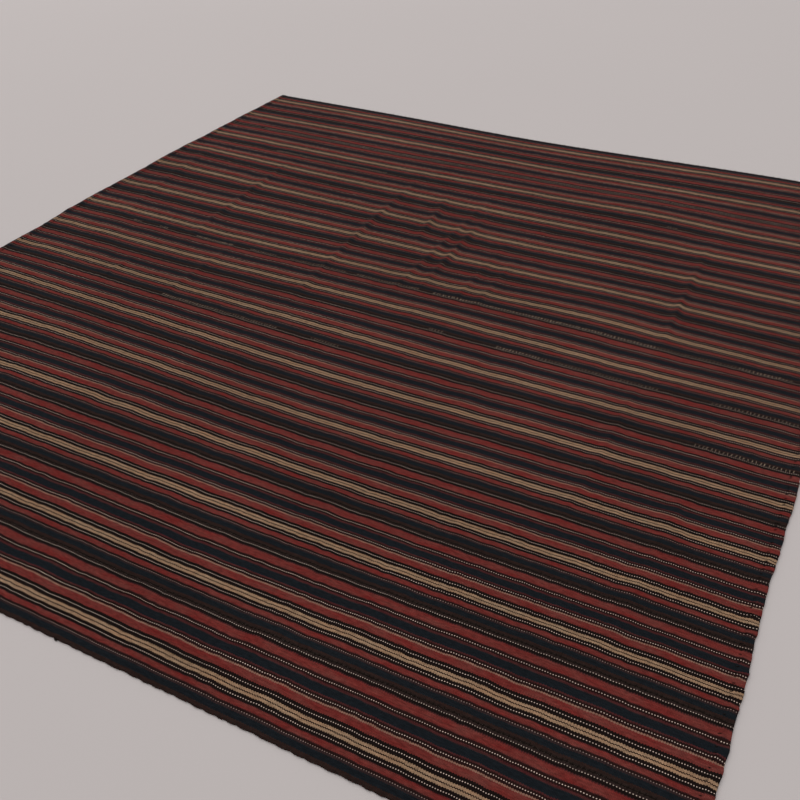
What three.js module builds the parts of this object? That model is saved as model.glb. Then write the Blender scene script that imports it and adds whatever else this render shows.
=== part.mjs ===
// Striped kilim lying on a floor: fifteen narrow warp-faced strips, sewn edge to edge.
// Lengths are in millimetres. X runs along the stripes, Y across them and Z up.
// The origin is on the floor, under the middle of the rug.
import * as THREE from 'three';

// Sizes of the rug
const LENGTH = 2310; // along the stripes, from hem to hem
const WIDTH = 2600; // across the stripes, from selvage to selvage
const SEAM_GAP = 0.3; // between the sewn edges of neighbouring strips
const CLOTH = 2.6; // thickness of one layer of the weave
const HEM_DEPTH = 19; // how far the cloth is turned under at each end
const HEM_THICKNESS = 4.6; // the two pressed layers of the hem
const HEM_SLOPE = 7; // the surface climbs onto the hem over this length
const EDGE_ROUND = 3; // width of the rounding along the rug's outer edges
const EDGE_DROP = 0.8; // how much lower the top lies at an edge
const ROW_STEPS = 2; // steps across one strip from row to row of points
const COLUMN_PITCH = 110; // rough spacing of the columns of points between the folds
const LEAST_GAP = 3; // columns of points lie at least this far apart
const MIDDLE = { x: -3.3, y: 10.4 }; // where the bowed edges put the middle of the rug
const WOOL = [0x3f2826, 0x4a2e2c]; // mean colour of the cloth, in two depths by turns

// The strips and their widths, from the near selvage to the far one.
const STRIPS = [
  { name: 'strip_01', width: 178 },
  { name: 'strip_02', width: 178 },
  { name: 'strip_03', width: 169 },
  { name: 'strip_04', width: 169 },
  { name: 'strip_05', width: 165 },
  { name: 'strip_06', width: 175 },
  { name: 'strip_07', width: 172 },
  { name: 'strip_08', width: 171 },
  { name: 'strip_09', width: 165 },
  { name: 'strip_10', width: 173 },
  { name: 'strip_11', width: 174 },
  { name: 'strip_12', width: 178 },
  { name: 'strip_13', width: 174 },
  { name: 'strip_14', width: 175 },
  { name: 'strip_15', width: 184 },
];

// Slow bows of the stripes in the plane of the rug.
// x, y: the middle of a bow. alongX, acrossY: its reach. shift: its push towards +Y.
const BOWS = [
  { x: -1120, y: 560, alongX: 400, acrossY: 150, shift: 28 },
  { x: -1020, y: -370, alongX: 450, acrossY: 220, shift: 21 },
  { x: -450, y: -600, alongX: 330, acrossY: 150, shift: 8 },
  { x: 110, y: -420, alongX: 400, acrossY: 190, shift: -13 },
  { x: 250, y: -660, alongX: 380, acrossY: 130, shift: -4 },
  { x: -520, y: 180, alongX: 360, acrossY: 130, shift: -13 },
  { x: 610, y: 170, alongX: 330, acrossY: 120, shift: 13 },
  { x: 420, y: -190, alongX: 300, acrossY: 120, shift: -6 },
  { x: 200, y: 520, alongX: 330, acrossY: 140, shift: -12 },
  { x: 1000, y: 500, alongX: 280, acrossY: 130, shift: -6 },
  { x: 610, y: 880, alongX: 330, acrossY: 150, shift: 10 },
  { x: -420, y: 880, alongX: 350, acrossY: 150, shift: -9 },
  { x: -40, y: 1270, alongX: 430, acrossY: 140, shift: -19 },
  { x: 920, y: 1250, alongX: 440, acrossY: 160, shift: 23 },
  { x: 900, y: -900, alongX: 300, acrossY: 140, shift: 5 },
  { x: 150, y: 1020, alongX: 260, acrossY: 130, shift: -6 },
  { x: -100, y: 660, alongX: 600, acrossY: 110, shift: -5 },
  { x: 180, y: 330, alongX: 320, acrossY: 110, shift: -7 },
  { x: 770, y: 780, alongX: 200, acrossY: 190, shift: -7 },
  { x: -600, y: -40, alongX: 260, acrossY: 150, shift: -5 },
  { x: 740, y: 0, alongX: 160, acrossY: 220, shift: -5 },
  { x: -850, y: -350, alongX: 200, acrossY: 70, shift: -5 },
  { x: 650, y: -800, alongX: 420, acrossY: 120, shift: -2.5 },
  { x: 200, y: -1020, alongX: 260, acrossY: 110, shift: -5.5 },
  { x: -1000, y: -60, alongX: 160, acrossY: 190, shift: 3 },
  { x: -670, y: -530, alongX: 120, acrossY: 70, shift: 4 },
];

// Soft folds that run across the stripes.
// from, to: the y where a fold starts and ends. xFrom, xTo: the x of its crest there.
// bend: how far the crest strays towards +X midway. top: the y where it is highest.
// rise: its height there. half: from the crest to where the cloth lies flat again.
const FOLDS = [
  { from: -120, to: 800, xFrom: -925, xTo: -1066, bend: -20, top: 470, rise: 2.0, half: 45 },
  { from: -330, to: -70, xFrom: -755, xTo: -750, bend: 0, top: -208, rise: 1.8, half: 24 },
  { from: -140, to: 900, xFrom: -655, xTo: -724, bend: -14, top: 400, rise: 3.0, half: 24 },
  { from: -330, to: 260, xFrom: -536, xTo: -516, bend: 0, top: -150, rise: 1.8, half: 26 },
  { from: -330, to: 920, xFrom: -180, xTo: -250, bend: -10, top: 390, rise: 3.8, half: 25 },
  { from: 300, to: 780, xFrom: -40, xTo: -120, bend: 8, top: 473, rise: 4.8, half: 28 },
  { from: -130, to: 900, xFrom: 20, xTo: 32, bend: 10, top: 304, rise: 3.3, half: 22 },
  { from: 0, to: 720, xFrom: 94, xTo: 74, bend: 2, top: 330, rise: 4.9, half: 26 },
  { from: -20, to: 620, xFrom: 203, xTo: 214, bend: 0, top: 150, rise: 2.1, half: 22 },
  { from: -20, to: 620, xFrom: 266, xTo: 274, bend: 0, top: 150, rise: 1.8, half: 22 },
  { from: -1040, to: 60, xFrom: 738, xTo: 760, bend: 10, top: -217, rise: 1.6, half: 24 },
  { from: 30, to: 900, xFrom: 768, xTo: 745, bend: 0, top: 260, rise: 4.2, half: 24 },
  { from: -980, to: -150, xFrom: 920, xTo: 962, bend: 6, top: -640, rise: 1.5, half: 40 },
];

// Broad, low swellings, where the cloth doesn't quite reach the floor.
// alongX, acrossY: from the middle to where it lies flat again.
const SWELLINGS = [
  { x: 560, y: 850, alongX: 300, acrossY: 210, rise: 4 },
  { x: 590, y: 190, alongX: 280, acrossY: 160, rise: 4 },
  { x: 200, y: -40, alongX: 170, acrossY: 100, rise: 2.5 },
  { x: -640, y: -820, alongX: 260, acrossY: 170, rise: 2.5 },
];

// The hemmed ends aren't quite straight: how far each strays towards +X.
const LEFT_END = [
  { y: -1300, stray: 6 },
  { y: -900, stray: 11 },
  { y: -500, stray: 9 },
  { y: -220, stray: 14 },
  { y: -130, stray: 13 },
  { y: -10, stray: 6 },
  { y: 30, stray: -1 },
  { y: 240, stray: -5 },
  { y: 330, stray: -3 },
  { y: 540, stray: -10 },
  { y: 650, stray: -10 },
  { y: 700, stray: -6 },
  { y: 1000, stray: -5 },
  { y: 1300, stray: 2 },
];
const RIGHT_END = [
  { y: -1300, stray: -4 },
  { y: -1000, stray: 4 },
  { y: -800, stray: 2 },
  { y: -680, stray: -2.5 },
  { y: -370, stray: 3 },
  { y: 100, stray: 0 },
  { y: 400, stray: -4 },
  { y: 900, stray: 4 },
  { y: 1300, stray: -1 },
];

// Bell curve: 1 at the middle, falling away over the reach on both axes.
function bell(along, across) {
  return Math.exp(-(along * along) - across * across);
}

// Cosine hump: 1 at the middle and exactly 0 from one reach outwards.
function hump(share) {
  if (Math.abs(share) >= 1) {
    return 0;
  }
  return Math.cos((Math.PI / 2) * share) ** 2;
}

// How far the bows push the cloth towards +Y at a place.
function bowAt(x, y) {
  let push = 0;
  for (const bow of BOWS) {
    push += bow.shift * bell((x - bow.x) / bow.alongX, (y - bow.y) / bow.acrossY);
  }
  return push;
}

// Straight-line reading of an end's table.
function strayAt(table, y) {
  const last = table.length - 1;
  const next = table.findIndex((row) => row.y > y);
  if (next === 0) {
    return table[0].stray;
  }
  if (next < 0) {
    return table[last].stray;
  }
  const share = (y - table[next - 1].y) / (table[next].y - table[next - 1].y);
  return THREE.MathUtils.lerp(table[next - 1].stray, table[next].stray, share);
}

// The x of a fold's crest, held at its end beyond the fold.
function crestAt(fold, y) {
  const share = THREE.MathUtils.clamp((y - fold.from) / (fold.to - fold.from), 0, 1);
  const straight = THREE.MathUtils.lerp(fold.xFrom, fold.xTo, share);
  return straight + fold.bend * Math.sin(Math.PI * share);
}

// How high the underside lies above the floor at a place.
function liftAt(x, y) {
  let lift = 0;
  for (const fold of FOLDS) {
    const run = y < fold.top ? fold.top - fold.from : fold.to - fold.top;
    lift += fold.rise * hump((y - fold.top) / run) * hump((x - crestAt(fold, y)) / fold.half);
  }
  for (const swelling of SWELLINGS) {
    const along = hump((x - swelling.x) / swelling.alongX);
    lift += swelling.rise * along * hump((y - swelling.y) / swelling.acrossY);
  }
  return lift;
}

// Thickness of the cloth: more in the hems, less at the rug's rounded outer edges.
function thicknessAt(x, y) {
  const fromEnd = LENGTH / 2 - Math.abs(x);
  const hem = 1 - THREE.MathUtils.smoothstep(fromEnd, HEM_DEPTH, HEM_DEPTH + HEM_SLOPE);
  const fromEdge = Math.min(fromEnd, WIDTH / 2 - Math.abs(y));
  const drop = EDGE_DROP * (1 - THREE.MathUtils.smoothstep(fromEdge, 0, EDGE_ROUND));
  return THREE.MathUtils.lerp(CLOTH, HEM_THICKNESS, hem) - drop;
}

// Rows of points across a strip: its edges, even steps between them, and one more row
// where the rounding of an outer selvage starts.
function rowsBetween(yLow, yHigh) {
  const rows = steps(yLow, yHigh, ROW_STEPS);
  if (yLow === -WIDTH / 2) {
    rows.splice(1, 0, yLow + EDGE_ROUND);
  }
  if (yHigh === WIDTH / 2) {
    rows.splice(-1, 0, yHigh - EDGE_ROUND);
  }
  return rows;
}

// What the columns are set out around, from left to right: the hems and the folds.
function stopsAt(y) {
  const hem = LENGTH / 2 - HEM_DEPTH - HEM_SLOPE;
  const stops = [{ low: -LENGTH / 2, high: -hem }];
  for (const fold of FOLDS) {
    const crest = crestAt(fold, y);
    stops.push({ low: crest - fold.half, high: crest + fold.half });
  }
  stops.push({ low: hem, high: LENGTH / 2 });
  return stops;
}

// Even steps from low to high, both ends among them.
function steps(low, high, count) {
  return Array.from({ length: count + 1 }, (_, i) => THREE.MathUtils.lerp(low, high, i / count));
}

// Columns of points along a row: four for each hem, five for each fold, more between.
// A row has as many columns as every other row, so the gaps are counted at y = 0.
function columnsAt(y) {
  const end = LENGTH / 2;
  const hemLines = [end, end - EDGE_ROUND, end - HEM_DEPTH, end - HEM_DEPTH - HEM_SLOPE];
  const columns = hemLines.flatMap((x) => [-x, x]);
  const stops = stopsAt(y);
  const middle = stopsAt(0);
  for (let i = 1; i < stops.length; i += 1) {
    const gap = middle[i].low - middle[i - 1].high;
    const count = Math.max(1, Math.round(gap / COLUMN_PITCH));
    columns.push(...steps(stops[i - 1].high, stops[i].low, count).slice(1, -1));
    if (i < stops.length - 1) {
      columns.push(...steps(stops[i].low, stops[i].high, 4));
    }
  }
  columns.sort((a, b) => a - b);
  for (let i = 1; i < columns.length; i += 1) {
    columns[i] = Math.max(columns[i], columns[i - 1] + LEAST_GAP);
  }
  return columns;
}

// One strip as a closed sheet: a top and an underside on the same rows and columns.
function strip(name, yLow, yHigh, colour) {
  const rows = rowsBetween(yLow, yHigh);
  const across = columnsAt(0).length;
  const positions = [];
  for (const layer of [0, 1]) {
    for (const y of rows) {
      for (const x of columnsAt(y)) {
        const rightShare = THREE.MathUtils.smoothstep(x, 0, LENGTH / 2);
        const leftShare = THREE.MathUtils.smoothstep(-x, 0, LENGTH / 2);
        const stray = leftShare * strayAt(LEFT_END, y) + rightShare * strayAt(RIGHT_END, y);
        const height = liftAt(x, y) + layer * thicknessAt(x, y);
        positions.push(x + stray, y + bowAt(x, y), height);
      }
    }
  }
  const point = (layer, row, column) => (layer * rows.length + row) * across + column;
  const faces = [];
  const quad = (a, b, c, d) => faces.push(a, b, c, a, c, d);
  for (let r = 0; r + 1 < rows.length; r += 1) {
    for (let c = 0; c + 1 < across; c += 1) {
      quad(point(1, r, c), point(1, r, c + 1), point(1, r + 1, c + 1), point(1, r + 1, c));
      quad(point(0, r, c), point(0, r + 1, c), point(0, r + 1, c + 1), point(0, r, c + 1));
    }
  }
  const lastRow = rows.length - 1;
  const lastColumn = across - 1;
  for (let c = 0; c < lastColumn; c += 1) {
    quad(point(0, 0, c), point(0, 0, c + 1), point(1, 0, c + 1), point(1, 0, c));
    quad(point(0, lastRow, c + 1), point(0, lastRow, c), point(1, lastRow, c), point(1, lastRow, c + 1));
  }
  for (let r = 0; r < lastRow; r += 1) {
    quad(point(0, r + 1, 0), point(0, r, 0), point(1, r, 0), point(1, r + 1, 0));
    quad(
      point(0, r, lastColumn),
      point(0, r + 1, lastColumn),
      point(1, r + 1, lastColumn),
      point(1, r, lastColumn),
    );
  }
  const geometry = new THREE.BufferGeometry();
  geometry.setAttribute('position', new THREE.Float32BufferAttribute(positions, 3));
  geometry.setIndex(faces);
  geometry.computeVertexNormals();
  const wool = new THREE.MeshStandardMaterial({ color: colour, roughness: 0.95, metalness: 0 });
  const mesh = new THREE.Mesh(geometry, wool);
  mesh.name = name;
  return mesh;
}

const kilim = new THREE.Group();
let nearEdge = -WIDTH / 2;
STRIPS.forEach((row, i) => {
  const farEdge = nearEdge + row.width;
  const yLow = i === 0 ? nearEdge : nearEdge + SEAM_GAP / 2;
  const yHigh = i === STRIPS.length - 1 ? WIDTH / 2 : farEdge - SEAM_GAP / 2;
  kilim.add(strip(row.name, yLow, yHigh, WOOL[i % WOOL.length]));
  nearEdge = farEdge;
});
kilim.position.set(-MIDDLE.x, -MIDDLE.y, 0);
export default kilim;
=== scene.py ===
# %% [markdown]
# # A striped kilim on a studio floor
# The rug is fifteen narrow strips of warp-faced wool cloth, sewn edge to edge and hemmed at
# both ends. Warp-faced means that the long yarns hide the cross yarns, so all the colour
# runs along the strips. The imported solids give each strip's place, and this lesson dresses
# them: finer cloth on the same folds, the weave, the sewing, the light and the camera.

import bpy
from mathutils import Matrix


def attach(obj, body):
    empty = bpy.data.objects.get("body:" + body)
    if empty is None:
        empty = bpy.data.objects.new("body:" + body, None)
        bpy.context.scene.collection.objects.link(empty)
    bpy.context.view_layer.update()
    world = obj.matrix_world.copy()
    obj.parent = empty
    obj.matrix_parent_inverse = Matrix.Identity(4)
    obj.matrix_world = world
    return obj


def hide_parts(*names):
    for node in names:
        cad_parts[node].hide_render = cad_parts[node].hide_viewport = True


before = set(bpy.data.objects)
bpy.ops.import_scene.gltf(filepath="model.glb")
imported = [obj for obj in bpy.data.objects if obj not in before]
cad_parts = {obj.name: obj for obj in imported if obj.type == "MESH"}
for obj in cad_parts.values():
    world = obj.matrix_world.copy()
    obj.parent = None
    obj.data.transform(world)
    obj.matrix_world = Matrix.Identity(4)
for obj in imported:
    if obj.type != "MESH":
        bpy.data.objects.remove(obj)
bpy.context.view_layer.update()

# %% Tools
import math

import bpy
import numpy as np
from mathutils import Matrix, Vector

MM = 0.001
scene = bpy.context.scene
rng = np.random.default_rng(7)
print("the tables are in millimetres, and one is", MM, "of Blender's units")

# %% [markdown]
# ## The camera
# The stripes run away to a vanishing point, so the photo's own perspective gives the lens,
# the tilt and the height. The camera is 1.29 m up, in front of the rug's right-hand near
# corner, and looks down and to the left. A matrix whose columns are the camera's right, up
# and back directions is clearer here than three angles.

# %% Camera
CAMERA_AT = (1.1157, -1.9870, 1.2893)
YAW = math.radians(27.73)
PITCH = math.radians(35.99)
ROLL = math.radians(0.49)
LENS = 42.46
SENSOR_WIDTH = 36
FARTHEST = 60

ahead = Vector((-math.sin(YAW) * math.cos(PITCH), math.cos(YAW) * math.cos(PITCH), -math.sin(PITCH)))
level = Vector((math.cos(YAW), math.sin(YAW), 0))
below = ahead.cross(level)
right = math.cos(ROLL) * level + math.sin(ROLL) * below
down = math.cos(ROLL) * below - math.sin(ROLL) * level

camera_data = bpy.data.cameras.new("camera")
camera_data.lens = LENS
camera_data.sensor_width = SENSOR_WIDTH
camera_data.clip_end = FARTHEST
camera = bpy.data.objects.new("camera", camera_data)
turn = Matrix((right, -down, -ahead)).transposed().to_4x4()
camera.matrix_world = Matrix.Translation(CAMERA_AT) @ turn
scene.collection.objects.link(camera)
scene.camera = camera
print("camera looks", [round(a, 3) for a in ahead])

# %% [markdown]
# ## Helpers for materials
# A material is a graph of nodes. Writing each node as one call keeps the graph readable:
# a value that is a socket is linked, and any other value is set on the socket itself. Noise
# gathers round a half, so its middle stretch is spread over the range that a look needs.
# Colours are chosen as a screen shows them, 0 to 255, and turned into amounts of light.

# %% Node helpers
NOISE_MIDDLE = (0.3, 0.7)


def node(tree, kind, sockets=None, **settings):
    made = tree.nodes.new(kind)
    for name, value in settings.items():
        setattr(made, name, value)
    for key, value in (sockets or {}).items():
        if isinstance(value, bpy.types.NodeSocket):
            tree.links.new(value, made.inputs[key])
        else:
            made.inputs[key].default_value = value
    return made


def maths(tree, operation, *values):
    made = node(tree, "ShaderNodeMath", dict(enumerate(values)), operation=operation)
    return made.outputs[0]


def between(tree, value, low, high, start=0, stop=1):
    made = node(tree, "ShaderNodeMapRange", {0: value, 1: start, 2: stop, 3: low, 4: high})
    return made.outputs[0]


def noise(tree, spot, scale, detail):
    made = node(tree, "ShaderNodeTexNoise", {"Vector": spot, "Scale": scale, "Detail": detail})
    return made.outputs["Fac"]


def spread(tree, noise_value, low, high):
    return between(tree, noise_value, low, high, *NOISE_MIDDLE)


def linear(red, green, blue):
    steps = [c / 255 for c in (red, green, blue)]
    return [c / 12.92 if c <= 0.04045 else ((c + 0.055) / 1.055) ** 2.4 for c in steps] + [1]


print("mid grey on a screen is this much light:", linear(128, 128, 128))

# %% New materials and groups
def new_material(name, roughness, gloss):
    material = bpy.data.materials.new(name)
    material.use_nodes = True
    shader = material.node_tree.nodes["Principled BSDF"]
    shader.inputs["Roughness"].default_value = roughness
    shader.inputs["Specular IOR Level"].default_value = gloss
    return material, material.node_tree, shader


def new_group(name, inputs, outputs):
    tree = bpy.data.node_groups.new(name, "ShaderNodeTree")
    for label, start in inputs.items():
        socket = tree.interface.new_socket(label, in_out="INPUT", socket_type="NodeSocketFloat")
        socket.default_value = start
    for label in outputs:
        tree.interface.new_socket(label, in_out="OUTPUT", socket_type="NodeSocketFloat")
    return tree, tree.nodes.new("NodeGroupInput").outputs, tree.nodes.new("NodeGroupOutput")


# %% [markdown]
# ## The floor
# A pale, warm grey studio floor. One large square is enough, a hair lower than the cloth so
# that the two faces don't lie in one plane. A very faint mottle keeps it from looking like
# plain paint.

# %% Floor
FLOOR_COLOUR = (0.582, 0.531, 0.520)
FLOOR_MOTTLE = 0.015
MOTTLES_PER_METRE = 0.6
FLOOR_SIZE = 30
FLOOR_DROP = 0.0003


def floor_material():
    material, tree, shader = new_material("studio floor", roughness=0.9, gloss=0.1)
    place = node(tree, "ShaderNodeTexCoord").outputs["Object"]
    tint = node(tree, "ShaderNodeValToRGB", {"Fac": noise(tree, place, MOTTLES_PER_METRE, detail=2)})
    for stop, share in zip(tint.color_ramp.elements, (1 - FLOOR_MOTTLE, 1 + FLOOR_MOTTLE)):
        stop.color = [c * share for c in FLOOR_COLOUR] + [1]
    tree.links.new(tint.outputs["Color"], shader.inputs["Base Color"])
    return material


half = FLOOR_SIZE / 2
floor_mesh = bpy.data.meshes.new("floor")
corners = [(-half, -half, 0), (half, -half, 0), (half, half, 0), (-half, half, 0)]
floor_mesh.from_pydata(corners, [], [(0, 1, 2, 3)])
floor_mesh.materials.append(floor_material())
floor = bpy.data.objects.new("floor", floor_mesh)
floor.location.z = -FLOOR_DROP
scene.collection.objects.link(floor)
print("floor", FLOOR_SIZE, "m wide")

# %% [markdown]
# ## The light
# The photo has no hard shadow, only a faint dark line where the cloth meets the floor. A
# plain bright world does most of the work, and one large soft lamp from the far left gives
# the low folds a light side and a dark one.

# %% Light
WORLD_LIGHT = 0.74
LAMP_AT = (-9.0, 6.8, 10.4)
LAMP_SIZE = 8.0
LAMP_WATTS = 420

world = bpy.data.worlds.new("studio")
scene.world = world
world.use_nodes = True
world.node_tree.nodes["Background"].inputs["Color"].default_value = (1, 1, 1, 1)
world.node_tree.nodes["Background"].inputs["Strength"].default_value = WORLD_LIGHT

lamp_data = bpy.data.lights.new("soft box", "AREA")
lamp_data.shape = "SQUARE"
lamp_data.size = LAMP_SIZE
lamp_data.energy = LAMP_WATTS
lamp = bpy.data.objects.new("soft box", lamp_data)
lamp.location = LAMP_AT
lamp.rotation_euler = (-Vector(LAMP_AT)).to_track_quat("-Z", "Y").to_euler()
scene.collection.objects.link(lamp)
scene.view_settings.view_transform = "Standard"
print("lamp", LAMP_WATTS, "W")

# %% [markdown]
# ## How the cloth lies
# Real strips are straight on the loom, and bow a little once they are sewn and laid down.
# The cloth also keeps soft folds from being stored. Simulating that would give some rug,
# not this one, so the bows and folds are listed, in millimetres, in short tables.
# A point of the flat cloth (x along the stripes, y across them) is pushed sideways by the
# bows, moved at the ends by the stray of the hems, and lifted by the folds.

# %% Sizes of the rug
LENGTH = 2310
WIDTH = 2600
SEAM_GAP = 0.3
CLOTH = 2.6
HEM_DEPTH = 19
HEM_THICKNESS = 4.6
HEM_SLOPE = 7
MIDDLE = (-3.3, 10.4)
STRIP_WIDTHS = [178, 178, 169, 169, 165, 175, 172, 171, 165, 173, 174, 178, 174, 175, 184]
TURNED_ROUND = [13, 14]
SEAMS = np.cumsum([0] + STRIP_WIDTHS) - WIDTH / 2
print("seams at", SEAMS)

# %% Bows: x, y, reach along x, reach across y, push towards +y
BOWS = [
    (-1120, 560, 400, 150, 28),
    (-1020, -370, 450, 220, 21),
    (-450, -600, 330, 150, 8),
    (110, -420, 400, 190, -13),
    (250, -660, 380, 130, -4),
    (-520, 180, 360, 130, -13),
    (610, 170, 330, 120, 13),
    (420, -190, 300, 120, -6),
    (200, 520, 330, 140, -12),
    (1000, 500, 280, 130, -6),
    (610, 880, 330, 150, 10),
    (-420, 880, 350, 150, -9),
    (-40, 1270, 430, 140, -19),
    (920, 1250, 440, 160, 23),
    (900, -900, 300, 140, 5),
    (150, 1020, 260, 130, -6),
    (-100, 660, 600, 110, -5),
    (180, 330, 320, 110, -7),
    (770, 780, 200, 190, -7),
    (-600, -40, 260, 150, -5),
    (740, 0, 160, 220, -5),
    (-850, -350, 200, 70, -5),
    (650, -800, 420, 120, -2.5),
    (200, -1020, 260, 110, -5.5),
    (-1000, -60, 160, 190, 3),
    (-670, -530, 120, 70, 4),
]
print("bows:", len(BOWS))

# %% Folds: y from, y to, crest x from, crest x to, bend, y of the top, rise, half width
FOLDS = [
    (-120, 800, -925, -1066, -20, 470, 2.0, 45),
    (-330, -70, -755, -750, 0, -208, 1.8, 24),
    (-140, 900, -655, -724, -14, 400, 3.0, 24),
    (-330, 260, -536, -516, 0, -150, 1.8, 26),
    (-330, 920, -180, -250, -10, 390, 3.8, 25),
    (300, 780, -40, -120, 8, 473, 4.8, 28),
    (-130, 900, 20, 32, 10, 304, 3.3, 22),
    (0, 720, 94, 74, 2, 330, 4.9, 26),
    (-20, 620, 203, 214, 0, 150, 2.1, 22),
    (-20, 620, 266, 274, 0, 150, 1.8, 22),
    (-1040, 60, 738, 760, 10, -217, 1.6, 24),
    (30, 900, 768, 745, 0, 260, 4.2, 24),
    (-980, -150, 920, 962, 6, -640, 1.5, 40),
]
print("folds:", len(FOLDS))

# %% Swellings: x, y, reach along x, reach across y, rise
SWELLINGS = [
    (560, 850, 300, 210, 4),
    (590, 190, 280, 160, 4),
    (200, -40, 170, 100, 2.5),
    (-640, -820, 260, 170, 2.5),
]
print("swellings:", len(SWELLINGS))

# %% Ends: y and the stray towards +x
LEFT_END = [
    (-1300, 6), (-900, 11), (-500, 9), (-220, 14), (-130, 13), (-10, 6), (30, -1), (240, -5),
    (330, -3), (540, -10), (650, -10), (700, -6), (1000, -5), (1300, 2),
]
RIGHT_END = [
    (-1300, -4), (-1000, 4), (-800, 2), (-680, -2.5), (-370, 3), (100, 0), (400, -4),
    (900, 4), (1300, -1),
]
print("the left end strays from", min(s for _, s in LEFT_END), "to", max(s for _, s in LEFT_END))

# %% [markdown]
# The tables turn into heights with two curves: a bell, which fades away without end, for
# the bows, and a cosine hump, which stops dead at its reach, for the folds. A third curve
# climbs smoothly from 0 to 1 and serves wherever one thing passes into another.

# %% Curves
def bell(along, across):
    return np.exp(-along ** 2 - across ** 2)


def hump(share):
    return np.where(np.abs(share) < 1, np.cos(np.pi / 2 * np.clip(share, -1, 1)) ** 2, 0)


def smooth(value, low, high):
    share = np.clip((value - low) / (high - low), 0, 1)
    return share * share * (3 - 2 * share)


print("halfway out, a bell and a hump stand at", bell(0.5, 0), hump(0.5))

# %% [markdown]
# A fold has a soft ridge and a sharper one on top of it, because wool cloth that was folded
# keeps a fine line on the crest. Along its crest it swells and dies away. Near each seam
# the sewing draws the rug's ends in a little, so the ends are scalloped too.

# %% Large movements
SHARP_SHARE = 0.65
SHARP_REACH = 0.4
SEAM_PULL = 2
PULL_ACROSS = 30
PULL_ALONG = 90


def lift_at(x, y):
    lift = np.zeros(np.broadcast(x, y).shape)
    for start, stop, x_start, x_stop, bend, top, rise, width in FOLDS:
        run = np.where(y < top, top - start, stop - top)
        share = np.clip((y - start) / (stop - start), 0, 1)
        crest = x_start + (x_stop - x_start) * share + bend * np.sin(np.pi * share)
        ridge = hump((x - crest) / width) + SHARP_SHARE * hump((x - crest) / (SHARP_REACH * width))
        lift += rise * hump((y - top) / run) * ridge
    for swell_x, swell_y, along, across, rise in SWELLINGS:
        lift += rise * hump((x - swell_x) / along) * hump((y - swell_y) / across)
    return lift


def shift_at(x, y):
    push = np.zeros(np.broadcast(x, y).shape)
    for bow_x, bow_y, along, across, reach in BOWS:
        push += reach * bell((x - bow_x) / along, (y - bow_y) / across)
    return push


def stray_at(x, y):
    left = smooth(-x, 0, LENGTH / 2) * np.interp(y, *zip(*LEFT_END))
    right = smooth(x, 0, LENGTH / 2) * np.interp(y, *zip(*RIGHT_END))
    from_seam = np.abs(y[..., None] - SEAMS[1:-1]).min(axis=-1)
    pulled_in = SEAM_PULL * np.exp(-(from_seam / PULL_ACROSS) ** 2)
    pulled_in = pulled_in * smooth(np.abs(x), LENGTH / 2 - PULL_ALONG, LENGTH / 2)
    return left + right - np.sign(x) * pulled_in


print("lift on the crest of the tallest fold:", lift_at(np.array([86.0]), np.array([330.0])))

# %% [markdown]
# Between the large folds the cloth is never quite still: each stripe sways a little, wool
# puckers by a fraction of a millimetre, and the cut ends are ragged. Sums of gentle waves
# do this. Each kind of wave has a usual length along and across the stripes, and they come
# from a seeded generator, so each run gives the same rug.

# %% Waves: how many, usual length along x, usual length across y
SHORTEST = 0.5
LONGEST = 1.6


def waves(count, along, across):
    shares = np.exp(rng.uniform(np.log(SHORTEST), np.log(LONGEST), (count, 2)))
    lengths = shares * (along, across)
    turns = rng.choice([-1, 1], (count, 2)) * 2 * np.pi / lengths
    return turns, rng.uniform(0, 2 * np.pi, count)


def ripple(spectrum, x, y):
    turns, phases = spectrum
    total = np.zeros(np.broadcast(x, y).shape)
    for (turn_x, turn_y), phase in zip(turns, phases):
        total += np.sin(turn_x * x + turn_y * y + phase)
    return total / math.sqrt(len(phases))


STRIPE_WAVES = waves(24, 170, 420)
SMALL_WAVES = waves(24, 52, 110)
PUCKERS = waves(20, 95, 60)
FINE_WAVES = waves(24, 27, 60)
END_WAVES = waves(24, 60, 34)
print("longest stripe wave:", 2 * math.pi / np.abs(STRIPE_WAVES[0][:, 0]).min(), "mm")

# %% [markdown]
# Everything comes together in one function, which tells where a point of the flat cloth
# lies in the room. All that is on the rug goes through it, the stitches too, so they follow
# the same folds. The swaying is gentler towards the rim, to keep to the solid's outline.

# %% Where a point of the flat cloth goes
STRIPE_SWAY = 0.7
SMALL_SWAY = 0.4
FINE_SWAY = 0.32
RIM_SWAY = 0.4
RIM_REACH = 60
PUCKER_RISE = 0.35
RAGGED_ALONG = 0.7
RAGGED_ACROSS = 1.5
SCALLOP_PITCH = 28
SCALLOP_DEPTH = 1.7
SCALLOP_MEAN = 0.7
SCALLOP_EDGE = (14, 2)
RAGGED_EDGE = (-4, 3)


def scallop_at(x, y):
    """How far the oversewn outer edges swell outwards between their thicker stitches."""
    uneven = np.sin(x / 61) + 0.7 * np.sin(x / 23)
    bulge = np.abs(np.sin(np.pi * x / SCALLOP_PITCH + uneven))
    edge = smooth(np.abs(y), WIDTH / 2 - SCALLOP_EDGE[0], WIDTH / 2 - SCALLOP_EDGE[1])
    return np.sign(y) * SCALLOP_DEPTH * (bulge - SCALLOP_MEAN) * edge


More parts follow.
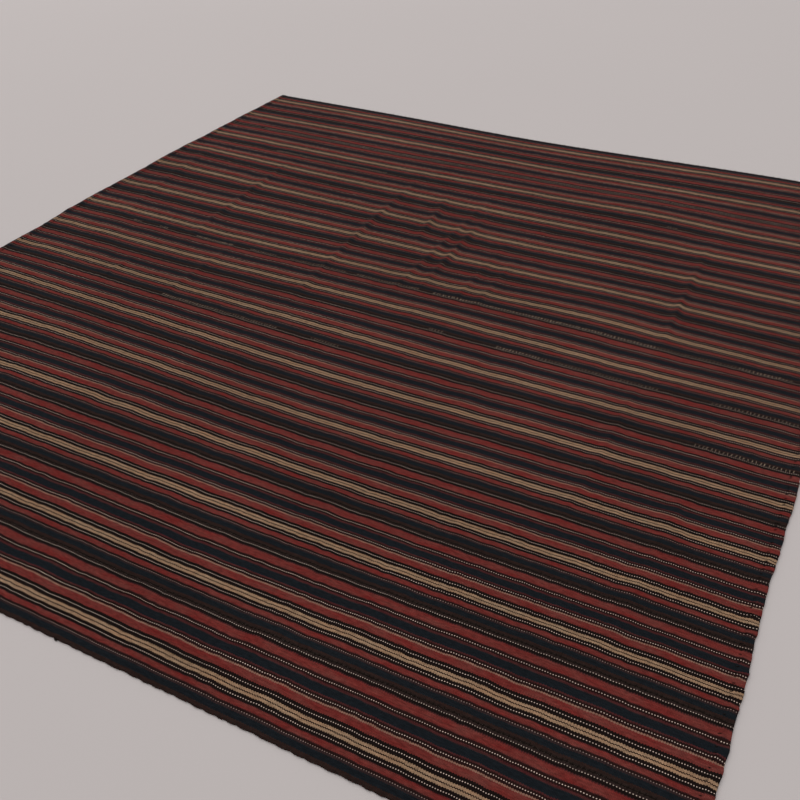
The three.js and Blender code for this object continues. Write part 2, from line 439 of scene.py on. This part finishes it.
def laid(x, y, height):
    """The place in metres of a point of the flat cloth, height mm above its underside."""
    still = smooth(LENGTH / 2 - np.abs(x), 0, RIM_REACH) * smooth(WIDTH / 2 - np.abs(y), 0, RIM_REACH)
    sway = STRIPE_SWAY * ripple(STRIPE_WAVES, x, y) + SMALL_SWAY * ripple(SMALL_WAVES, x, y)
    sway = (sway + FINE_SWAY * ripple(FINE_WAVES, x, y)) * (RIM_SWAY + (1 - RIM_SWAY) * still)
    pucker = PUCKER_RISE * np.maximum(0, ripple(PUCKERS, x, y)) * still
    hem_line = LENGTH / 2 - HEM_DEPTH
    past_hem = smooth(np.abs(x), hem_line + RAGGED_EDGE[0], hem_line + RAGGED_EDGE[1])
    ragged = ripple(END_WAVES, x, y) * past_hem
    place = (
        x + stray_at(x, y) + RAGGED_ALONG * ragged - MIDDLE[0],
        y + shift_at(x, y) + sway + scallop_at(x, y) + RAGGED_ACROSS * ragged - MIDDLE[1],
        lift_at(x, y) + pucker + height,
    )
    return np.stack(np.broadcast_arrays(*place), axis=-1) * MM


print("middle of the cloth lies at", laid(np.array([0.0]), np.array([0.0]), 0))

# %% [markdown]
# ## The cloth
# Each strip is a thin closed sheet, because real cloth has a thickness, an underside and
# edges that turn round. A box with bevels can't follow the folds, and a plane with a
# Solidify modifier can't make the hem, so the sheet is made from a grid of points: rows
# along its length, closer together where the edge turns round and where the hem starts.

# %% Grid lines of a strip
EDGE_STEPS = [0, 0.35, 0.9, 1.8, 3.2]
HEM_STEPS = [0, 0.6, 1.5, 3, 6, 10.5, 15, 17.6, 18.6, 19.4, 21, 24, 27]
ALONG_PITCH = 6
ACROSS_PITCH = 10


def lines(low, high, edge, pitch):
    inner_low = low + edge[-1]
    inner_high = high - edge[-1]
    count = math.ceil((inner_high - inner_low) / pitch)
    inner = np.linspace(inner_low, inner_high, count + 1)[1:-1]
    return np.concatenate([low + np.array(edge), inner, high - np.array(edge)[::-1]])


print("columns of points:", len(lines(-LENGTH / 2, LENGTH / 2, HEM_STEPS, ALONG_PITCH)))

# %% [markdown]
# The turned end makes a hem of two pressed layers, with a groove where the sewing holds the
# second one down. Each edge is rounded: the top comes down and the underside comes up to
# one line, a little below the middle of the thickness.

# %% Thickness of the cloth
GROOVE_DEPTH = 1.2
GROOVE_WIDTH = 1.9
END_ROUND = 2.6
SIDE_ROUND = 2.2
CROWN = 0.3
CROWN_WIDTH = 7
RIM_SHARE = 0.42


def thickness(x):
    from_end = LENGTH / 2 - np.abs(x)
    hem = 1 - smooth(from_end, HEM_DEPTH - 1, HEM_DEPTH + HEM_SLOPE)
    return CLOTH + (HEM_THICKNESS - CLOTH) * hem


def rounded(distance, reach):
    share = np.clip(distance / reach, 0, 1)
    return np.sqrt(1 - (1 - share) ** 2)


def layers(x, y, low, high):
    """Heights in mm of the underside and the top above where the cloth rests."""
    from_end = LENGTH / 2 - np.abs(x)
    from_side = np.minimum(y - low, high - y)
    groove = np.exp(-((from_end - HEM_DEPTH) / GROOVE_WIDTH) ** 2)
    full = thickness(x) - GROOVE_DEPTH * groove
    open_share = np.minimum(rounded(from_end, END_ROUND), rounded(from_side, SIDE_ROUND))
    crown = CROWN * (1 - smooth(from_side, 0, CROWN_WIDTH))
    rim = RIM_SHARE * full
    return rim * (1 - open_share), rim + (full - crown - rim) * open_share


test_under, test_over = layers(np.array([0.0, 1150.0]), np.array([0.0, 0.0]), -50, 50)
print("cloth and hem thickness:", test_over - test_under)

# %% [markdown]
# The colours need to know where on the loom a point was, whatever the folds do to it
# later. So each mesh carries a UV map named stripes: U is the distance along the strip in
# metres, and V is the strip's number plus the share of its width, from the side with the
# navy stripe. The last two strips were turned round before sewing, so V runs back there.
# No weaver beats every cross yarn home alike, so U drifts by a few millimetres.

# %% Place on the loom, and the beats: drift, over which length, step from strip to strip
BEATS = [(7, 118, 2.1), (2, 47, 1.3)]
LEAST_SHARE = 0.0005


def loom_place(x, y, number, low, high):
    share = (y - low) / (high - low)
    if number in TURNED_ROUND:
        share = 1 - share
    beat = sum(drift * np.sin(x / length + step * number) for drift, length, step in BEATS)
    along = (x + LENGTH / 2 + beat) * MM
    return np.stack([along, number + np.clip(share, LEAST_SHARE, 1 - LEAST_SHARE)], axis=-1)


print("middle of the first strip on the loom:", loom_place(0, 0.5, 0, 0, 1))

# %% [markdown]
# Top and underside are two copies of the grid that share the points of the rim, which keeps
# the mesh closed. The underside's faces run the other way round, so that they look down.

# %% Mesh of a strip
def quads(table, flip):
    corners = [table[:-1, :-1], table[:-1, 1:], table[1:, 1:], table[1:, :-1]]
    return np.stack([c.ravel() for c in (corners[::-1] if flip else corners)], axis=-1)


def strip_mesh(name, number, low, high):
    columns = lines(-LENGTH / 2, LENGTH / 2, HEM_STEPS, ALONG_PITCH)
    rows = lines(low, high, EDGE_STEPS, ACROSS_PITCH)
    x, y = np.meshgrid(columns, rows)
    under, over = layers(x, y, low, high)
    inside = np.zeros(x.shape, bool)
    inside[1:-1, 1:-1] = True
    index = np.arange(x.size).reshape(x.shape)
    below_index = index.copy()
    below_index[inside] = x.size + np.arange(np.count_nonzero(inside))
    points = np.concatenate([laid(x, y, over).reshape(-1, 3), laid(x, y, under)[inside]])
    loom = loom_place(x, y, number, low, high)
    loom = np.concatenate([loom.reshape(-1, 2), loom[inside]])
    faces = np.concatenate([quads(index, False), quads(below_index, True)])
    mesh = bpy.data.meshes.new(name)
    mesh.from_pydata(points.tolist(), [], faces.tolist())
    layer = mesh.uv_layers.new(name="stripes")
    layer.data.foreach_set("uv", loom[faces.ravel()].astype(np.float32).ravel())
    mesh.polygons.foreach_set("use_smooth", np.ones(len(mesh.polygons), bool))
    mesh.update()
    return mesh


print("a grid of 3 by 3 points has faces", quads(np.arange(9).reshape(3, 3), False).tolist())

# %% [markdown]
# ## The stripes
# A weaver counts the stripes in warp yarns. Each strip has 168 of them, and the chart
# below lists the runs of one colour from the navy side to the far side. A run of a single
# pale yarn between dark ones gives the dotted lines: in a warp-faced cloth each yarn shows
# at every second cross yarn only.

# %% Yarn colours
YARN = {
    "dark": linear(28, 18, 16),
    "soot": linear(47, 36, 32),
    "umber": linear(52, 35, 31),
    "dusk": linear(56, 40, 40),
    "maroon": linear(82, 40, 40),
    "wine": linear(42, 22, 20),
    "navy": linear(27, 32, 37),
    "red": linear(125, 52, 47),
    "tan": linear(174, 139, 110),
    "bark": linear(34, 20, 18),
    "straw": linear(154, 112, 95),
    "white": linear(199, 176, 162),
    "ash": linear(176, 158, 144),
    "drab": linear(140, 118, 110),
}
LONE_YARNS = ["white", "ash", "drab"]
print("colours of yarn:", len(YARN))

# %% Chart of the warp yarns: colour, how many yarns
WARPS = 168
CHART = [
    ("soot", 3), ("umber", 5), ("navy", 11), ("dusk", 4), ("drab", 1), ("wine", 4),
    ("maroon", 1), ("red", 9), ("maroon", 1), ("dark", 5), ("white", 1), ("dark", 6),
    ("tan", 5), ("bark", 2), ("tan", 5), ("dark", 7), ("white", 1), ("dark", 6),
    ("red", 14), ("straw", 3), ("wine", 5), ("white", 1), ("wine", 4), ("maroon", 3),
    ("navy", 15), ("dusk", 1), ("maroon", 4), ("wine", 4), ("white", 1), ("wine", 5),
    ("maroon", 1), ("red", 15), ("maroon", 2), ("dark", 6), ("ash", 1), ("dusk", 2),
    ("soot", 4),
]
print("warps:", sum(count for _, count in CHART), "runs:", len(CHART))

# %% [markdown]
# ## The weave
# One group works out which yarn is on top at each spot. Yarns with an even number show at
# even cross yarns (picks) and the others between them, so each yarn shows as a row of
# beads two yarns wide and one pick long, set like bricks. The group puts out the yarn's
# place in the chart, the height of the bead, and a number for each yarn, which other
# textures use to give every yarn its own shade.

# %% Weave group
PICK = 2.28 * MM
STRIP_STRIDE = 251.0
BEAD_FALL = 1.2

weave, given, result = new_group(
    "warp faced weave",
    {"Along": 0, "Across": 0, "Yarns": WARPS, "Pick": PICK},
    ["Place", "Bead", "Yarn"],
)
strip_share = maths(weave, "FRACT", given["Across"])
strip_number = maths(weave, "FLOOR", given["Across"])
picks = maths(weave, "DIVIDE", given["Along"], given["Pick"])
odd = maths(weave, "MODULO", maths(weave, "FLOOR", picks), 2.0)
yarns = maths(weave, "MULTIPLY", strip_share, given["Yarns"])
shifted = maths(weave, "SUBTRACT", maths(weave, "ADD", yarns, 0.5), odd)
pairs = maths(weave, "MULTIPLY", shifted, 0.5)
whole_pairs = maths(weave, "MULTIPLY", maths(weave, "FLOOR", pairs), 2.0)
yarn_number = maths(weave, "ADD", whole_pairs, odd)
place = maths(weave, "DIVIDE", maths(weave, "ADD", yarn_number, 0.5), given["Yarns"])
side_arch = maths(weave, "SINE", maths(weave, "MULTIPLY", maths(weave, "FRACT", pairs), math.pi))
end_arch = maths(weave, "SINE", maths(weave, "MULTIPLY", maths(weave, "FRACT", picks), math.pi))
arch = maths(weave, "MULTIPLY", maths(weave, "POWER", side_arch, BEAD_FALL), end_arch)
bead = maths(weave, "MAXIMUM", arch, 0.0)
yarn_id = maths(weave, "ADD", maths(weave, "MULTIPLY", strip_number, STRIP_STRIDE), yarn_number)
for label, value in {"Place": place, "Bead": bead, "Yarn": yarn_id}.items():
    weave.links.new(value, result.inputs[label])
print("weave group:", len(weave.nodes), "nodes")

# %% [markdown]
# Hand-spun and hand-dyed wool is never one even colour. A second group stretches a noise
# along each yarn, so that a yarn drifts slowly from lighter to darker, and adds a fine
# unevenness from bead to bead. Both the cloth and the sewing yarn use it.

# %% Uneven wool group
DRIFTS_PER_METRE = 9
GRAINS_PER_METRE = 420
YARN_STEP = 7.31

wool_shades, given, result = new_group(
    "uneven wool",
    {"Along": 0, "Yarn": 0, "Drift": 0.25, "Grain": 0.2},
    ["Shade"],
)


def yarn_noise(per_metre, seed, strength):
    across = maths(wool_shades, "MULTIPLY", given["Yarn"], YARN_STEP)
    stretched = maths(wool_shades, "MULTIPLY", given["Along"], per_metre)
    spot = node(wool_shades, "ShaderNodeCombineXYZ", {0: stretched, 1: across, 2: seed})
    centred = maths(wool_shades, "SUBTRACT", noise(wool_shades, spot.outputs[0], 1, 1), 0.5)
    return maths(wool_shades, "MULTIPLY", centred, maths(wool_shades, "MULTIPLY", strength, 2.0))


drift = yarn_noise(DRIFTS_PER_METRE, 1.5, given["Drift"])
grain = yarn_noise(GRAINS_PER_METRE, 8.5, given["Grain"])
shade = maths(wool_shades, "ADD", maths(wool_shades, "ADD", drift, grain), 1.0)
wool_shades.links.new(shade, result.inputs["Shade"])
print("uneven wool group:", len(wool_shades.nodes), "nodes")

# %% [markdown]
# ## The cloth's colour
# A colour ramp without blending holds the chart. The chart has more runs than one ramp can
# hold, so two ramps share it, each stretched over its own runs, because a ramp keeps only
# 256 steps. A ramp's alpha says whether a run is a lone yarn. Those stand a little proud
# between dark neighbours, so their beads get a painted highlight and the dips between them
# get deeper painted shade, which also stands for the dark yarn beneath showing through.

# %% Stripe ramps
RAMP_SPLIT = 20


def chart_ramp(tree, place, first, last):
    ramp = node(tree, "ShaderNodeValToRGB", {"Fac": place})
    stops = ramp.color_ramp
    stops.interpolation = "CONSTANT"
    starts = np.cumsum([0] + [count for _, count in CHART])
    starts = (starts - starts[first]) / (starts[last] - starts[first])
    for step, run in enumerate(range(first, last)):
        colour = CHART[run][0]
        stop = stops.elements[step] if step < 2 else stops.elements.new(0.999)
        stop.position = starts[run]
        stop.color = YARN[colour][:3] + [1 if colour in LONE_YARNS else 0]
    return ramp.outputs["Color"], ramp.outputs["Alpha"]


def chart_colour(tree, place):
    border = sum(count for _, count in CHART[:RAMP_SPLIT]) / WARPS
    past_border = maths(tree, "SUBTRACT", place, border)
    near_place = maths(tree, "DIVIDE", place, border)
    far_place = maths(tree, "DIVIDE", past_border, 1 - border)
    near, near_lone = chart_ramp(tree, near_place, 0, RAMP_SPLIT)
    far, far_lone = chart_ramp(tree, far_place, RAMP_SPLIT, len(CHART))
    is_far = maths(tree, "GREATER_THAN", place, border)
    colour = node(tree, "ShaderNodeMix", {0: is_far, 6: near, 7: far}, data_type="RGBA")
    lone = node(tree, "ShaderNodeMix", {0: is_far, 2: near_lone, 3: far_lone})
    return colour.outputs[2], lone.outputs[0]


print("runs in the two ramps:", RAMP_SPLIT, len(CHART) - RAMP_SPLIT)

# %% [markdown]
# ## The cloth's material
# The chart's colour gets painted shade between the beads, where the yarns dip under the
# picks, and painted light on the bead tops. It is varied by the uneven wool, flecked where
# threads were thicker, and clouded a little by an old rug's fading. Patches of dye differ a
# shade in hue and depth. Wool has almost no gloss: the specular level is low, because dark
# yarns would look grey under a bright sky.

# %% Cloth material
WOOL_ROUGHNESS = 0.95
WOOL_GLOSS = 0.06
CLOTH_DRIFT = 0.30
CLOTH_GRAIN = 0.22
FLECKS_PER_METRE = (85, 290, 1)
FLECK_SHADES = (0.72, 1.28)
FADES_PER_METRE = 2.3
FADE_SHADES = (0.9, 1.1)
DYE_SHARE = 0.23
DYE_HUES = (0.497, 0.504)
DYE_DEPTHS = (1.05, 0.93)
# Painted shade in the dips between beads and painted light on the bead tops, first for other yarns,
# then for lone yarns, whose dips also stand for the dark yarn beneath.
VALLEY_SHADE = (0.57, 0.1)
BEAD_TOP_LIGHT = (0.86, 1.42)
BEAD_HEIGHT = 0.0005
BEAD_RELIEF = 0.6


def wool_shade(tree, along, yarn, drift, grain):
    sockets = {"Along": along, "Yarn": yarn, "Drift": drift, "Grain": grain}
    return node(tree, "ShaderNodeGroup", sockets, node_tree=wool_shades).outputs["Shade"]


def cloth_material():
    material, tree, shader = new_material("striped wool", WOOL_ROUGHNESS, WOOL_GLOSS)
    stripes = node(tree, "ShaderNodeUVMap", uv_map="stripes").outputs["UV"]
    split = node(tree, "ShaderNodeSeparateXYZ", {0: stripes}).outputs
    threads = {"Along": split["X"], "Across": split["Y"], "Yarns": WARPS, "Pick": PICK}
    cloth = node(tree, "ShaderNodeGroup", threads, node_tree=weave)
    colour, lone = chart_colour(tree, cloth.outputs["Place"])
    wool = wool_shade(tree, split["X"], cloth.outputs["Yarn"], CLOTH_DRIFT, CLOTH_GRAIN)
    # Painted shade between the beads and painted light on their tops, set by the bead's height.
    valley_shade = between(tree, lone, *VALLEY_SHADE)
    bead_top_light = between(tree, lone, *BEAD_TOP_LIGHT)
    painted_bead_shading = between(tree, cloth.outputs["Bead"], valley_shade, bead_top_light)

    spot = node(tree, "ShaderNodeTexCoord").outputs["Object"]
    flecks = {0: spot, 1: FLECKS_PER_METRE}
    flecks = node(tree, "ShaderNodeVectorMath", flecks, operation="MULTIPLY").outputs[0]
    fleck = spread(tree, noise(tree, flecks, 1, detail=3), *FLECK_SHADES)
    fade = spread(tree, noise(tree, spot, FADES_PER_METRE, detail=3), *FADE_SHADES)
    worn = maths(tree, "MULTIPLY", fade, fleck)
    # light carries the painted bead shading as well as the wear and the uneven wool.
    light = maths(tree, "MULTIPLY", maths(tree, "MULTIPLY", painted_bead_shading, worn), wool)

    dye = noise(tree, flecks, DYE_SHARE, detail=3)
    hue = spread(tree, dye, *DYE_HUES)
    depth = spread(tree, dye, *DYE_DEPTHS)
    dyed = {"Hue": hue, "Saturation": depth, "Value": light, "Color": colour}
    tinted = node(tree, "ShaderNodeHueSaturation", dyed)
    tree.links.new(tinted.outputs[0], shader.inputs["Base Color"])
    bumps = {"Height": cloth.outputs["Bead"], "Distance": BEAD_HEIGHT, "Strength": BEAD_RELIEF}
    relief = node(tree, "ShaderNodeBump", bumps)
    tree.links.new(relief.outputs["Normal"], shader.inputs["Normal"])
    return material


striped_wool = cloth_material()
print("cloth material:", len(striped_wool.node_tree.nodes), "nodes")

# %% [markdown]
# ## The strips
# Each visible piece is told which body it rides on, gets its material, and hides the solid
# that it stands for.

# %% Lay the strips
pieces = []


def piece(name, mesh, material, stands_for=()):
    mesh.materials.append(material)
    made = bpy.data.objects.new(name, mesh)
    scene.collection.objects.link(made)
    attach(made, "root")
    if stands_for:
        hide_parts(*stands_for)
    pieces.append(made)
    return made


for number, width in enumerate(STRIP_WIDTHS):
    name = f"strip_{number + 1:02d}"
    low = SEAMS[number] + (SEAM_GAP / 2 if number else 0)
    high = SEAMS[number + 1] - (SEAM_GAP / 2 if number + 1 < len(STRIP_WIDTHS) else 0)
    cloth = piece(name + "_cloth", strip_mesh(name + "_cloth", number, low, high), striped_wool, [name])
print("strips:", len(pieces), "faces each:", len(pieces[0].data.polygons))

# %% [markdown]
# ## The sewing
# The strips are joined by oversewing: the yarn goes over the two edges again and again,
# and shows as short slanting stitches a finger's width apart. Most of it is as dark as
# the wool beside it, but in places a pale yarn was used, and there the seam shows as a
# row of light dashes. Each stitch is a short bent tube. They are made all at once as one
# array of points, because thousands of separate objects would be slow.

# %% Stitch tubes
def tubes(x, y, height, radius, sides, axis):
    """Tubes along the last axis of x and y. axis is the direction, x or y, they are round in."""
    angle = np.arange(sides) * 2 * np.pi / sides
    wide = np.cos(angle)
    tall = np.sin(angle)
    taper = np.sin(np.linspace(0.25, 0.75, x.shape[1]) * np.pi)[None, :, None]
    reach = np.broadcast_to(radius, (x.shape[0],))[:, None, None] * taper
    x = x[..., None] + (reach * wide if axis == "x" else 0)
    y = y[..., None] + (reach * wide if axis == "y" else 0)
    return laid(x, y, height[..., None] + reach * tall)


def tube_mesh(name, points, tone=None):
    stitches, rings, sides = points.shape[:3]
    index = np.arange(stitches * rings * sides).reshape(stitches, rings, sides)
    turned = np.roll(index, -1, axis=2)
    walls = [index[:, :-1], index[:, 1:], turned[:, 1:], turned[:, :-1]]
    faces = np.stack([w.ravel() for w in walls], axis=-1).tolist()
    faces += index[:, 0].tolist()
    faces += index[:, -1, ::-1].tolist()
    mesh = bpy.data.meshes.new(name)
    mesh.from_pydata(points.reshape(-1, 3).tolist(), [], faces)
    if tone is not None:
        layer = mesh.uv_layers.new(name="tone")
        corner_points = np.concatenate([np.ravel(face) for face in faces])
        tones = tone[corner_points // (rings * sides)]
        layer.data.foreach_set("uv", np.stack([tones, 0 * tones], axis=-1).astype(np.float32).ravel())
    mesh.polygons.foreach_set("use_smooth", np.ones(len(mesh.polygons), bool))
    mesh.update()
    return mesh


# %% [markdown]
# The pale yarn shows on a few of the seams only, over the stretches in this table. Each
# stitch has a length and a slant of its own, because the strips are sewn by hand.

# %% Where the pale yarn shows: seam, x from, x to, how pale
PALE = [
    (6, -536, -370, 0.6), (6, -370, -148, 0.4), (6, -46, 46, 0.35), (6, 929, 1010, 0.5),
    (6, 1010, 1150, 0.65),
    (7, 208, 254, 0.5), (7, 400, 517, 0.8), (7, 517, 808, 0.4), (7, 933, 1125, 0.5),
    (8, -910, -877, 0.5), (8, -808, -771, 0.5), (8, -658, -522, 0.7), (8, -462, -370, 0.4),
    (8, -323, -139, 0.3), (8, -99, 92, 0.4), (8, 139, 393, 0.8), (8, 393, 758, 0.85),
    (8, 758, 954, 0.3), (8, 954, 1086, 0.7),
    (12, -827, -370, 0.55), (12, 600, 640, 0.4), (13, -1000, 1100, 0.4),
]
print("stretches of pale yarn:", len(PALE))

# %% Seam stitches
STITCH_PITCH = 8.6
STITCH_SPAN = 9.3
STITCH_SLANT = 1.6
STITCH_SINK = 0.75
STITCH_ARCH = 1.05
DARK_RADIUS = 0.6375
PALE_RADIUS = 0.8625
STITCH_START = 8
STITCH_STOP = 4
ARCH_FULLNESS = 0.6


def seam_stitches(seam):
    count = int((LENGTH - STITCH_START - STITCH_STOP) / STITCH_PITCH)
    start = -LENGTH / 2 + STITCH_START + np.arange(count) * STITCH_PITCH
    start = start + rng.normal(0, 0.7, count)
    span = STITCH_SPAN * rng.uniform(0.65, 1.1, count)
    slant = STITCH_SLANT + rng.normal(0, 1.5, count)
    pale = np.zeros(count)
    for number, low, high, how_pale in PALE:
        if number == seam:
            pale[(start > low) & (start < high)] = how_pale
    pale = pale * rng.uniform(0.7, 1.1, count)
    along = np.linspace(-0.5, 0.5, 6)
    x = start[:, None] + slant[:, None] * along
    y = SEAMS[seam] + span[:, None] * along
    arch = np.cos(np.pi * along) ** ARCH_FULLNESS
    return x, y, thickness(x) - STITCH_SINK + STITCH_ARCH * arch, pale


batches = [seam_stitches(seam) for seam in range(1, len(STRIP_WIDTHS))]
x, y, height, pale = [np.concatenate(part) for part in zip(*batches)]
is_pale = pale > 0
dark_points = tubes(x[~is_pale], y[~is_pale], height[~is_pale], DARK_RADIUS, sides=4, axis="x")
pale_points = tubes(x[is_pale], y[is_pale], height[is_pale], PALE_RADIUS, sides=6, axis="x")
print("stitches, dark and pale:", len(dark_points), len(pale_points))

# %% [markdown]
# Sewing yarn is two strands twisted together. A wave texture along a slanting direction
# gives the twist as a bump and paints shade into the grooves of the twist, and the same
# uneven wool varies its tone. The pale yarn is worn down to dark in places, so its stitches
# carry a tone in a UV map of their own.

# %% Sewing yarn
TWISTS = 420
TWIST_HEIGHT = 0.0002
TWIST_WANDER = 1.5
# Painted shade in the grooves of the twist, from the groove to the crest of a strand.
TWIST_GROOVE_SHADE = (0.75, 1.1)
YARNS_PER_METRE = 16.0
SEWING_GRAIN = 0.3


def yarn_material(name, colour, variation, pale_colour=None):
    material, tree, shader = new_material(name, WOOL_ROUGHNESS, WOOL_GLOSS)
    spot = node(tree, "ShaderNodeTexCoord").outputs["Object"]
    split = node(tree, "ShaderNodeSeparateXYZ", {0: spot}).outputs
    twist = {"Vector": spot, "Scale": TWISTS, "Distortion": TWIST_WANDER}
    twist = node(tree, "ShaderNodeTexWave", twist).outputs["Fac"]
    yarn = maths(tree, "MULTIPLY", split["X"], YARNS_PER_METRE)
    wool = wool_shade(tree, split["Y"], yarn, variation, SEWING_GRAIN)
    # Painted shade in the twist's grooves, times the uneven wool.
    light = maths(tree, "MULTIPLY", between(tree, twist, *TWIST_GROOVE_SHADE), wool)
    dye = colour[:3]
    if pale_colour is not None:
        tone = node(tree, "ShaderNodeUVMap", uv_map="tone").outputs["UV"]
        tone = node(tree, "ShaderNodeSeparateXYZ", {0: tone}).outputs["X"]
        mixed = {0: tone, 6: colour, 7: pale_colour}
        dye = node(tree, "ShaderNodeMix", mixed, data_type="RGBA").outputs[2]
    tinted = node(tree, "ShaderNodeVectorMath", {0: dye, "Scale": light}, operation="SCALE")
    tree.links.new(tinted.outputs[0], shader.inputs["Base Color"])
    relief = node(tree, "ShaderNodeBump", {"Height": twist, "Distance": TWIST_HEIGHT})
    tree.links.new(relief.outputs["Normal"], shader.inputs["Normal"])
    return material


dark_yarn = yarn_material("dark sewing yarn", linear(31, 23, 20), 0.3)
pale_yarn = yarn_material("pale sewing yarn", linear(40, 28, 25), 0.5, linear(186, 166, 144))
maroon_yarn = yarn_material("maroon sewing yarn", linear(58, 31, 28), 0.4)
piece("seam_stitches_dark", tube_mesh("seam_stitches_dark", dark_points), dark_yarn)
piece("seam_stitches_pale", tube_mesh("seam_stitches_pale", pale_points, pale[is_pale]), pale_yarn)
print("sewing yarn, brightest tone:", pale.max())

# %% [markdown]
# The turned hems are held by small stitches across the groove where the second layer
# ends. They sit a little deeper than the seam stitches, because a hem is sewn tight.

# %% Hem stitches
HEM_PITCH = 13
HEM_REACH = 6.5
HEM_SLANT = 2.0
HEM_ARCH = 0.6
HEM_RADIUS = 0.7
HEM_START = 6
HEM_STOP = 5

hem_y = np.arange(-WIDTH / 2 + HEM_START, WIDTH / 2 - HEM_STOP, HEM_PITCH)
hem_y = hem_y + rng.normal(0, 2.0, hem_y.size)
along = np.linspace(-0.5, 0.5, 5)
hem_parts = []
for side in (-1, 1):
    centre = side * (LENGTH / 2 - HEM_DEPTH - 0.3)
    x = centre + HEM_REACH * along + np.zeros((hem_y.size, 1))
    y = hem_y[:, None] + HEM_SLANT * along
    height = thickness(x) - STITCH_SINK + HEM_ARCH * np.cos(np.pi * along)
    hem_parts.append(tubes(x, y, height, HEM_RADIUS, sides=5, axis="y"))
hem_points = np.concatenate(hem_parts)
piece("hem_stitches", tube_mesh("hem_stitches", hem_points), dark_yarn)
print("hem stitches:", len(hem_points))

# %% [markdown]
# The outer selvages are oversewn with maroon yarn. Those stitches go round the edge, so
# their tubes follow a half circle from the top to the underside. Every third one is
# thicker, which gives the edge the small scallops that it has in the photo.

# %% Oversewn selvages
WRAP_PITCH = 6
WRAP_RADIUS = 0.7
THICKER_BY = 0.5
WRAP_LEAN = 1.6
WRAP_REACH = 1.3
WRAP_INSET = 0.9
WRAP_TURN = 0.62
WRAP_MIDDLE = 0.95
WRAP_CLIMB = 0.85 * CLOTH / 2
WRAP_START = 4
WRAP_STOP = 3

wrap_x = np.arange(-LENGTH / 2 + WRAP_START, LENGTH / 2 - WRAP_STOP, WRAP_PITCH)
wrap_x = wrap_x + rng.normal(0, 0.4, wrap_x.size)
is_thicker = np.arange(wrap_x.size) % 3 == 0
wrap_radius = WRAP_RADIUS + THICKER_BY * is_thicker + rng.normal(0, 0.06, wrap_x.size)
turn_angle = np.linspace(-WRAP_TURN, WRAP_TURN, 8) * np.pi
wrap_parts = []
for side in (-1, 1):
    x = wrap_x[:, None] + WRAP_LEAN * turn_angle / np.pi
    y = side * (WIDTH / 2 - WRAP_INSET + WRAP_REACH * np.cos(turn_angle)) + np.zeros((wrap_x.size, 1))
    height = WRAP_MIDDLE + WRAP_CLIMB * np.sin(turn_angle) + wrap_radius[:, None]
    wrap_parts.append(tubes(x, y, height, wrap_radius, sides=6, axis="x"))
wrap_points = np.concatenate(wrap_parts)
wrap_points[..., 2] = np.maximum(wrap_points[..., 2], 0)
piece("selvage_stitches", tube_mesh("selvage_stitches", wrap_points), maroon_yarn)
print("selvage stitches:", len(wrap_points))

# %% [markdown]
# Near the middle of the near selvage a few ends of yarn stick out as a small dark tuft.
# They are tubes as well, which fan out from one place and sink towards the floor.

# %% Tuft
TUFT_X = 81
TUFT_ENDS = 9
TUFT_RADIUS = 0.55
TUFT_ROOT = {"width": 1.8, "inset": 1.5, "height": 1.6}
TUFT_FAN = 2.5
TUFT_SHIFT = 1.0
TUFT_LENGTH = 5.5
TUFT_TAPER = 1.5
TUFT_ARCH = 1.2
TUFT_SINK = 0.7
TUFT_TUMBLE = 0.3

lean = np.linspace(-1, 1, TUFT_ENDS)[:, None]
out = np.linspace(0, 1, 6)[None, :]
x = TUFT_X + TUFT_ROOT["width"] * lean + (TUFT_FAN * lean + TUFT_SHIFT) * out
y = -WIDTH / 2 + TUFT_ROOT["inset"] - (TUFT_LENGTH - TUFT_TAPER * np.abs(lean)) * out
height = TUFT_ROOT["height"] + TUFT_ARCH * np.sin(np.pi * out) - TUFT_SINK * out
height = height + TUFT_TUMBLE * np.cos(7 * lean)
tuft_points = tubes(x, y, height, TUFT_RADIUS, sides=5, axis="x")
piece("selvage_tuft", tube_mesh("selvage_tuft", tuft_points), dark_yarn)
print("tuft of", TUFT_ENDS, "ends")

# %% [markdown]
# ## Finish
# The last line counts the triangles of every piece.

# %% Triangles of every piece
triangles = {made.name: sum(len(p.vertices) - 2 for p in made.data.polygons) for made in pieces}
print("triangles:", sum(triangles.values()), triangles)
